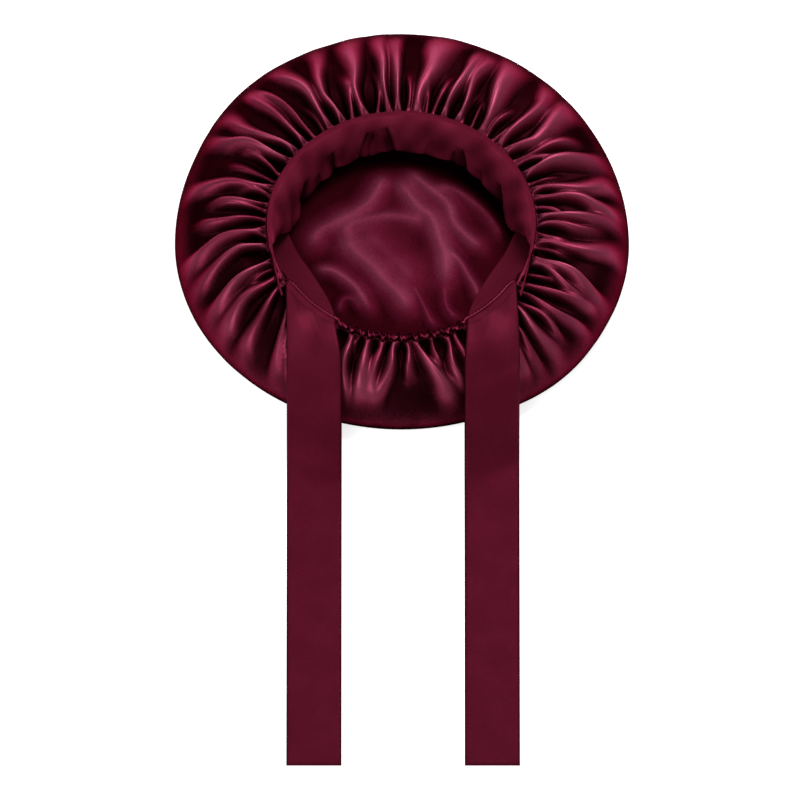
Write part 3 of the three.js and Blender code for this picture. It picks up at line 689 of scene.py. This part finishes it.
def over_gathers(angle, radius):
    """Height just above the crown's sewn edge and its gathers, at angles in degrees."""
    opening = opening_radius(np.radians(angle))
    out = (radius - opening) / (rim_radius(np.radians(angle)) - opening)
    return crest_height(np.maximum(0, out)) + ON_SEAM + 0.5 * ease(out / 0.12)


# The same satin doubled and pressed, with less gather to catch the light: an even wine red,
# with soft creases painted dark as shade and no bright gleam.
band_satin = satin(
    "band_satin_weave",
    [(0, "#0a0003"), (0.3, "#38091a"), (0.6, "#66172c"), (1, "#842640")],
    metallic=0.15,
    roughness=0.55,
    edge_tint="#ffffff",
)

degrees = np.linspace(-BAND_TAIL_TO, 180 + BAND_TAIL_TO, BAND_COLUMNS)
band_angle = np.radians(degrees)
along, across = np.cos(band_angle), np.sin(band_angle)
behind = np.maximum(-degrees, degrees - 180)
way = np.clip((behind - BAND_TAIL_FROM) / (BAND_TAIL_TO - BAND_TAIL_FROM), 0, 1)
turned = ease(3 * behind / BAND_TAIL_FROM - 2)
opening = opening_radius(band_angle)
beside_tie = TIE_SIDE / np.cos(np.radians(np.maximum(behind, 0)))
outer = opening + BAND_LIP + BAND_TAIL_OUT * way**1.6
outer = np.maximum(outer, np.where(behind > 0, beside_tie + 2 * BAND_TIP, 0))
tail_inner = np.maximum(outer - BAND_TAIL_WIDTH * (1 - 0.5 * way), beside_tie) + BAND_TIP
inner = (opening - BAND_INSET) * (1 - turned) + tail_inner * turned
length = np.maximum(BAND_TIP, BAND_WIDTH * ease((BAND_TAIL_FROM - behind) / BAND_TAPER))
length -= BAND_NARROWER * np.maximum(0, across) ** 1.5
steep = math.asin((SEAM_HEIGHT + ON_SEAM - BAND_FREE_HEIGHT) / BAND_WIDTH) * (1 - turned)

# The band's rows from its outer edge: first its lip on the gathers, then the hanging part.
lip_rows = []
for share in (0, 0.05, 0.35, 0.7):
    radius = outer + (inner - outer) * share
    rise = BAND_LIP_RISE * (1 - share) * (1 - turned)
    # The lip's painted shading, with a painted dark line of shade along its outer edge.
    tone = np.full(BAND_COLUMNS, BAND_LIP_SHADE if share else BAND_EDGE_PAINTED_SHADOW)
    lip_rows.append((radius, over_gathers(degrees, radius) + rise, tone))
hanging_rows = []
for step in np.linspace(0, 1, BAND_ROWS):
    dent, crease_painted_shade, painted_gleam = np.zeros((3, BAND_COLUMNS))
    for place, lean, deep, reach, sharp in CREASES:
        grown = ease((step - 1 + reach) / reach)
        away = degrees - place - lean * ((1 - step) / reach) ** 1.4
        side = 1 if lean > 0 else -1
        pressed = sharp * np.exp(-np.abs(away) / CREASE_PRESSED)
        buckled = (1 - 0.5 * sharp) * bell(away, CREASE_BUCKLED)
        # The crease's painted lines of shade and, beside them, its painted line of light.
        stroke = bell(away, CREASE_DARK) + 0.45 * bell(away - side * SECOND_BESIDE, SECOND_DARK)
        light = bell(away + side * LIGHT_BESIDE, CREASE_LIGHT)
        dent = np.maximum(dent, deep * grown * (pressed + buckled))
        crease_painted_shade = np.maximum(crease_painted_shade, deep * sharp * ease(grown * 12) * stroke)
        painted_gleam = np.maximum(painted_gleam, deep * sharp * ease(grown * 6) * light)
    ripple = 0.6 * np.sin(degrees * 0.21 + 5 * step) + 0.4 * np.sin(degrees * 0.47 - 6 * step + 1)
    roll = ROLL_CURVE * step * (1 - step) ** 2 * BAND_ROLL * BAND_WIDTH
    lift = (roll - BAND_DENT * dent + BAND_RIPPLE * ripple * step) * length / BAND_WIDTH
    radius = inner - step * length * np.cos(steep) - lift * np.sin(steep)
    height = over_gathers(degrees, inner) - step * length * np.sin(steep) + lift * np.cos(steep)

    # Painted shading: painted shade towards its free edge and in the creases, painted light beside
    # them and at the front, and painted light and shade along its ripples.
    painted_shading = BAND_SHADE - 0.1 * step - 0.62 * crease_painted_shade + 0.26 * painted_gleam + 0.15 * ripple
    painted_shading += 0.1 * (across - 0.65) - 0.12 * ease((step - 0.85) / 0.15)
    hanging_rows.append((radius, height, painted_shading))
band_rows = lip_rows + hanging_rows
grid = np.array([(r * along, r * across, z) for r, z, _ in band_rows]).transpose(0, 2, 1)
painted_shading = np.array([tone for _, _, tone in band_rows])
band = piece_from(
    "front_band_cloth",
    *plate(grid, np.full(grid.shape[:2], BAND_CLOTH)),
    np.tile(painted_shading.ravel(), 2),
    band_satin,
)

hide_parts("front_band")
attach(band, "root")

# Each tie is a long strip, sewn into a tube, turned and pressed flat. It starts inside the
# band, passes over the edge of the opening and runs across the gathers down to the table.
TIE_WIDTH = 40.7
TIE_INNER_EDGE = 45.3
TIE_SHIFT = 1.3
TIE_REACH = 436
TIE_CLOTH = 1.5
TIE_SEAM_FROM = 28
TIE_SEAM_TO = 59
TIE_DROP = 50
TIE_ON_SEAM = 0.4
TIE_SPRING = 0.6
TIE_LIES_FROM = 200
TIE_SHADE = 0.62
TIE_COLUMNS = 30
TIE_ROWS = 260
TIE_EASED_ROWS = 12
CASING_PULL = 2.5

# A tie springs off the table by TIE_SPRING up to TIE_LIES_FROM, counted from the opening's
# middle. Beyond this share of its half width its pressed edge is rounded off.
TIE_EDGE_FROM = 0.93

# The crumple starts this far from the opening's middle, is fullest at its middle and fades.
CRUMPLE_FROM = 72
CRUMPLE_MIDDLE = 92
CRUMPLE_LENGTH = 20
CRUMPLE_HEIGHT = 0.9

# The tie inside the opening, from its hidden end: outer edge and inner edge, rightwards and
# forwards in shares of the opening's radius and upwards in shares of the seam's height.
TIE_INSIDE = [
    ((1.02, 0.14, 0.13), (0.88, 0.2, 0.15)),
    ((1.0, -0.02, 0.24), (0.78, -0.08, 0.3)),
    ((0.96, -0.2, 0.48), (0.66, -0.34, 0.53)),
    ((0.93, -0.35, 0.8), (0.54, -0.64, 0.8)),
]

# The same satin as a pressed tube, flat and taut: one even dark wine red, a little lighter with
# a painted highlight only where the seam crumples it, and with painted shade along its rounded edges.
tie_satin = satin(
    "tie_satin_weave",
    [(0, "#100005"), (0.3, "#360818"), (0.6, "#501022"), (1, "#6a1c32")],
    metallic=0.2,
    roughness=0.5,
    edge_tint="#ffffff",
)


def ring_depth(x, out):
    """How far towards the nape the ring reaches at x, at a share of the way out to its rim."""
    across = OPENING_RADIUS + out * (SIDE_RADIUS - OPENING_RADIUS)
    deep = OPENING_RADIUS + out * (NAPE_RADIUS - OPENING_RADIUS)
    return deep * np.sqrt(np.maximum(0, 1 - (x / across) ** 2))


def tie_crumple(grid):
    """The soft crumple that the seam leaves in the first few centimetres of a tie, 0 to 1."""
    x, y = np.abs(grid[..., 0]), grid[..., 1]
    place = bell(-y - CRUMPLE_MIDDLE, CRUMPLE_LENGTH) * ease((-y - CRUMPLE_FROM) / 14)
    return place * (0.5 + 0.5 * np.sin(0.2 * x + 0.13 * y + 1.3 * np.sin(0.09 * y)))


def tie_grid(side):
    """The tie's underside, from its hidden end to its free end. side: 1 right, -1 left."""
    share = np.linspace(0, 1, TIE_COLUMNS)
    column = share[:, None]
    size = np.array([OPENING_RADIUS, OPENING_RADIUS, SEAM_HEIGHT])
    rows = [np.array(a) * size * (1 - column) + np.array(b) * size * column for a, b in TIE_INSIDE]

    # Over the crown's sewn edge, under the casing.
    turn = np.radians(-(TIE_SEAM_FROM + (TIE_SEAM_TO - TIE_SEAM_FROM) * share))
    edge = OPENING_RADIUS - 1 - CASING_PULL * ease(share * 3)
    height = np.full(TIE_COLUMNS, SEAM_HEIGHT + TIE_ON_SEAM)
    seam = np.stack([edge * np.cos(turn), edge * np.sin(turn), height], 1)
    rows.append(seam)

    # Across the gathers, where it turns straight and puckers a little.
    straight = TIE_INNER_EDGE + TIE_WIDTH * (1 - share) + side * TIE_SHIFT
    for out in (0.065, 0.12, 0.22, 0.37, 0.55, 0.75):
        x = seam[:, 0] + (straight - seam[:, 0]) * ease(out / 0.6)
        lift = ON_SEAM + 0.85 * ease(out / 0.12)
        pucker = 0.9 * np.sin(2 * math.pi * (2.5 * share - out))
        pucker *= ease(out / 0.1) * (1 - ease(out / 0.6))
        height = crest_height(out) + lift + np.maximum(0, pucker)
        rows.append(np.stack([x, -ring_depth(x, out), height], 1))

    # Down to the table and straight out on it.
    top = rows[-1]
    landing = -ring_depth(top[:, 0], 1) - TIE_DROP
    ground = np.stack([top[:, 0], landing, np.zeros(TIE_COLUMNS)], 1)
    for fall in (0.15, 0.3, 0.45, 0.6, 0.8, 1):
        row = top + (ground - top) * fall
        row[:, 2] = top[:, 2] * (1 - ease(fall))
        rows.append(row)
    for way in np.linspace(0, 1, 12)[1:]:
        row = ground.copy()
        row[:, 1] += (-TIE_REACH - ground[:, 1]) * way
        rows.append(row)
    grid = smooth_curve(np.array(rows).reshape(len(rows), -1), TIE_ROWS)
    grid = grid.reshape(TIE_ROWS, TIE_COLUMNS, 3)

    # A stiff pressed tie bends in a wide curve where it leaves the gathers for the table.
    weights = bell(np.arange(-TIE_EASED_ROWS, TIE_EASED_ROWS + 1), TIE_EASED_ROWS / 2)
    padded = np.pad(grid[..., 2], ((TIE_EASED_ROWS, TIE_EASED_ROWS), (0, 0)), mode="edge")
    eased = sum(w * padded[k : k + TIE_ROWS] for k, w in enumerate(weights / weights.sum()))
    beyond = ease((-grid[..., 1] / OPENING_RADIUS - 1.1) / 0.3)
    grid[..., 2] += (eased + TIE_SPRING - grid[..., 2]) * beyond
    settled = ease((-grid[..., 1] - TIE_LIES_FROM) / 40)
    grid[..., 2] = np.maximum(grid[..., 2] - TIE_SPRING * settled, 0)
    grid[..., 2] += CRUMPLE_HEIGHT * tie_crumple(grid)
    grid[..., 0] *= side
    return grid[:, ::-1] if side < 0 else grid


edge_share = np.abs(np.linspace(-1, 1, TIE_COLUMNS))
rounded = np.maximum(0, edge_share - TIE_EDGE_FROM) / (1 - TIE_EDGE_FROM)
tie_thick = TIE_CLOTH * np.sqrt(np.maximum(0.02, 1 - rounded**2))
for name, side in (("tie_left", -1), ("tie_right", 1)):
    grid = tie_grid(side)
    # Painted shading: a painted highlight on the crumple and painted shade along the rounded edges.
    painted_shading = (TIE_SHADE + 0.3 * tie_crumple(grid)) * (1 - 0.8 * ease(rounded))
    closed = plate(grid, np.tile(tie_thick, (len(grid), 1)))
    tie = piece_from(f"{name}_cloth", *closed, np.tile(painted_shading.ravel(), 2), tie_satin)
    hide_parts(name)
    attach(tie, "root")

# The nape casing is a narrow fold of satin round the elastic. The elastic draws it up between
# the ties, so it ruffles there, and it lies smooth where it is sewn over each tie.
CASING_WIDTH = 4.8
CASING_SMOOTH_WIDTH = 2.6
CASING_HEIGHT = 3
CASING_SWING = 1.1
CASING_RUFFLES = 27
CASING_STATIONS = 1400
CASING_SIDES = 16

# How many degrees to each side of the nape the casing runs, just past the ties' outer edges,
# and how many of them are free to ruffle.
CASING_HALF_RUN = 90 - TIE_SEAM_FROM + 1.5
CASING_HALF_FREE = 90 - TIE_SEAM_TO

# The same satin, bunched up tight by the elastic, with its light painted in: many tiny painted
# gleams beside notches of painted shade, and one quiet painted line of light along the smooth parts.
casing_satin = satin(
    "casing_satin_weave",
    [(0, "#0c0004"), (0.3, "#2a0511"), (0.6, "#5c1328"), (1, "#8a3048")],
    metallic=0.6,
    roughness=0.5,
    edge_tint="#44202c",
)

# The ruffles crowd and swing unevenly, because the phase that places them is itself bent.
angle = np.linspace(270 - CASING_HALF_RUN, 270 + CASING_HALF_RUN, CASING_STATIONS)
from_middle = np.abs(angle - 270)
begun = ease((CASING_HALF_RUN - from_middle) / 7)
free = ease((CASING_HALF_FREE - from_middle) / 6)
phase = (angle - 270) / (2 * CASING_HALF_FREE) * CASING_RUFFLES * 2 * math.pi
phase += 1.1 * np.sin(0.31 * phase) + 0.7 * np.sin(0.17 * phase + 2)
swing = np.sin(phase / 2) + 0.6 * np.sin(0.83 * phase + 1)
pull = CASING_PULL * (1 - free) * ease((90 - TIE_SEAM_FROM - from_middle) / 8)
centre = OPENING_RADIUS + CASING_SWING * free * swing - pull
base = SEAM_HEIGHT + ON_SEAM + (1 - free) * (TIE_CLOTH + 0.5) - 1.2 * (1 - begun)
width = CASING_SMOOTH_WIDTH + (CASING_WIDTH - CASING_SMOOTH_WIDTH) * free
width *= 0.35 + 0.65 * begun
turn = np.arange(CASING_SIDES) * 2 * math.pi / CASING_SIDES
casing_rings = []
casing_painted_shading = []
for k in range(CASING_STATIONS):
    frill = np.maximum(0, np.sin(phase[k] + 1.6 * turn + 1.5 * np.sin(0.4 * phase[k]))) ** 3
    crumple = free[k] * (0.3 * frill - 0.2 + 0.12 * np.sin(phase[k] * 1.3 + 3 * turn))
    out = centre[k] + np.cos(turn) * width[k] / 2 * (1 + crumple)
    rise = (1 + np.sin(turn) * (1 + crumple)) * CASING_HEIGHT / 2
    up = base[k] + rise * (0.6 + 0.4 * free[k])
    theta = math.radians(angle[k])
    casing_rings.append(np.stack([out * math.cos(theta), out * math.sin(theta), up], 1))
    # Painted shading: a painted line of light along the casing's top, painted light and shade on the
    # ruffles, and painted shade beneath.
    lit = np.maximum(0, np.sin(turn + 0.4)) ** 2
    ruffled = free[k] * (0.25 * lit * swing[k] + 0.4 * (frill - 0.3))
    casing_painted_shading.append(0.08 + (0.8 - 0.3 * free[k]) * begun[k] * lit + ruffled)
points = np.vstack(casing_rings)
faces = []
for k in range(CASING_STATIONS - 1):
    lower = np.arange(CASING_SIDES) + k * CASING_SIDES
    faces += [face[::-1] for face in faces_between(lower, lower + CASING_SIDES)]
faces.append(list(range(CASING_SIDES)))
faces.append(list(range(len(points) - 1, len(points) - CASING_SIDES - 1, -1)))
casing = piece_from(
    "nape_casing_cloth", points, faces, np.concatenate(casing_painted_shading), casing_satin
)

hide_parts("nape_casing")
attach(casing, "root")

# The seams are topstitched in twisted polyester thread of the same red, along the casing where
# it crosses each tie and along the sewn edge of the band. Each stitch is a short bar of thread,
# which the machine's tension sinks a little into the cloth.
STITCH_STEP = 3
STITCH_LENGTH = 2
STITCH_THICKNESS = 0.35
STITCH_SUNK = 0.02

# The band is stitched this many degrees past its sides, the casing this near the middle line.
BAND_STITCHED_TO = 6
CASING_STITCHED_WITHIN = 84

# Polyester thread, twisted: it is matt beside the satin and lies in the shade of its own dent,
# so it shows as a fine dark line of stitches. That shade is painted into its colour.
thread = satin(
    "thread_twisted_polyester",
    [(0, "#1c0309"), (0.6, "#4a0e20"), (1, "#7a2a40")],
    metallic=0.1,
    roughness=0.6,
    edge_tint="#ffffff",
    grain_mm=0.3,
)


def stitch_tree():
    """Short bars at even steps along the edges of a mesh line."""
    tree = bpy.data.node_groups.new("stitches", "GeometryNodeTree")
    face = tree.interface
    face.new_socket("line", in_out="INPUT", socket_type="NodeSocketGeometry")
    for name in ("step", "length", "thickness"):
        face.new_socket(name, in_out="INPUT", socket_type="NodeSocketFloat")
    face.new_socket("thread", in_out="INPUT", socket_type="NodeSocketMaterial")
    face.new_socket("stitches", in_out="OUTPUT", socket_type="NodeSocketGeometry")
    given = add_node(tree, "NodeGroupInput").outputs
    curve = add_node(tree, "GeometryNodeMeshToCurve", {"Mesh": given["line"]})
    even = add_node(
        tree,
        "GeometryNodeResampleCurve",
        {"Curve": curve.outputs[0], "Length": given["step"]},
        mode="LENGTH",
    )
    tangent = add_node(tree, "GeometryNodeInputTangent")
    turn = add_node(tree, "FunctionNodeAlignRotationToVector", {"Vector": tangent.outputs[0]}, axis="Z")
    bar = add_node(
        tree,
        "GeometryNodeMeshCylinder",
        {"Vertices": 6, "Radius": given["thickness"], "Depth": given["length"]},
    )
    placed = add_node(
        tree,
        "GeometryNodeInstanceOnPoints",
        {"Points": even.outputs[0], "Instance": bar.outputs[0], "Rotation": turn.outputs[0]},
    )
    real = add_node(tree, "GeometryNodeRealizeInstances", {"Geometry": placed.outputs[0]})
    painted = add_node(
        tree, "GeometryNodeSetMaterial", {"Geometry": real.outputs[0], "Material": given["thread"]}
    )
    add_node(tree, "NodeGroupOutput", {"stitches": painted.outputs[0]})
    return tree


def stitches_along(name, lines, tree):
    """A piece of stitches along lines of points, given in millimetres."""
    mesh = bpy.data.meshes.new(name + "_line")
    starts = np.cumsum([0] + [len(line) for line in lines])
    edges = [(k, k + 1) for a, b in zip(starts, starts[1:]) for k in range(a, b - 1)]
    mesh.from_pydata((np.vstack(lines) / 1000).tolist(), edges, [])
    line_object = bpy.data.objects.new(name + "_line", mesh)
    bpy.context.scene.collection.objects.link(line_object)
    modifier = line_object.modifiers.new("stitches", "NODES")
    modifier.node_group = tree
    sizes = {"step": STITCH_STEP, "length": STITCH_LENGTH, "thickness": STITCH_THICKNESS / 2}
    for item in tree.interface.items_tree:
        if item.in_out == "INPUT" and item.name in sizes:
            modifier[item.identifier] = sizes[item.name] / 1000
        elif item.in_out == "INPUT" and item.name == "thread":
            modifier[item.identifier] = thread
    evaluated = line_object.evaluated_get(bpy.context.evaluated_depsgraph_get())
    piece = bpy.data.objects.new(name, bpy.data.meshes.new_from_object(evaluated))
    bpy.data.objects.remove(line_object)
    bpy.context.scene.collection.objects.link(piece)
    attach(piece, "root")


stitching = stitch_tree()
sewn_radius, sewn_height, _ = lip_rows[2]
sewn = behind < BAND_STITCHED_TO
band_line = np.stack(
    [sewn_radius * along, sewn_radius * across, sewn_height + BAND_CLOTH - STITCH_SUNK], 1
)
stitches_along("band_stitches", [band_line[sewn]], stitching)

# The line along the casing's top, at each of its ends and only where it lies over a tie.
casing_top = np.array([ring[CASING_SIDES // 4] for ring in casing_rings])
over_tie = np.array([abs(ring[0, 0]) < CASING_STITCHED_WITHIN for ring in casing_rings])
quarter = CASING_STATIONS // 4
casing_lines = [casing_top[part][over_tie[part]] for part in (slice(quarter), slice(-quarter, None))]
stitches_along("casing_stitches", casing_lines, stitching)

# The bonnet lies on a plain white table top, painted matt. The paint glows a little here, so
# that the table stays as white as the photograph's ground and takes only a faint shadow.
TABLE_HALF = 8
TABLE_GLOW = 0.75

table = bpy.data.meshes.new("table")
corners = [(x * TABLE_HALF, y * TABLE_HALF, 0) for x, y in ((-1, -1), (1, -1), (1, 1), (-1, 1))]
table.from_pydata(corners, [], [(0, 1, 2, 3)])
table_object = bpy.data.objects.new("table", table)
bpy.context.scene.collection.objects.link(table_object)
# Matt white paint: it scatters all light, and mirrors nothing of the red above it.
white_paint = bpy.data.materials.new("table_matt_white_paint")
white_paint.use_nodes = True
paint = white_paint.node_tree.nodes["Principled BSDF"].inputs
paint["Base Color"].default_value = linear("#fcfcfc")
paint["Roughness"].default_value = 0.9
paint["Emission Color"].default_value = linear("#ffffff")
paint["Emission Strength"].default_value = TABLE_GLOW
table.materials.append(white_paint)
